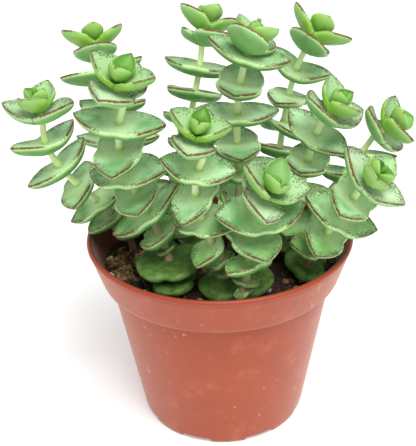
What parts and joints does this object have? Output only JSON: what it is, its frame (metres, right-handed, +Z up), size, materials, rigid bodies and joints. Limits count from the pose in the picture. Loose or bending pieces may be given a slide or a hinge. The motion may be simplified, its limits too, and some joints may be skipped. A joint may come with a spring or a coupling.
{
  "type": "potted stacked succulent",
  "caption": "Small potted succulent: upright stems strung with joined pairs of pointed fleshy leaves, rosettes on top, in soil in a tapered plastic nursery pot with a wide collar.",
  "frame": {"origin": "on the pot's axis, in the middle of the flat disc under the pot, which stands on the table", "axes": "+Z up along the pot's axis, -Y towards the viewer of the picture, +X to the viewer's right"},
  "size_m": [0.1554, 0.1076, 0.166],
  "materials": {
    "pot_plastic": "satin",
    "soil": "matte",
    "leaves": "satin"
  },
  "bodies": {
    "root": {"pot": "pot_plastic", "soil": "soil", "stem_a": "leaves", "stem_b": "leaves", "stem_c": "leaves", "stem_d": "leaves", "stem_e": "leaves", "stem_f": "leaves", "stem_g": "leaves", "stem_h": "leaves", "stem_i": "leaves", "stem_j": "leaves", "stem_k": "leaves", "stem_l": "leaves"}
  },
  "joints": []
}
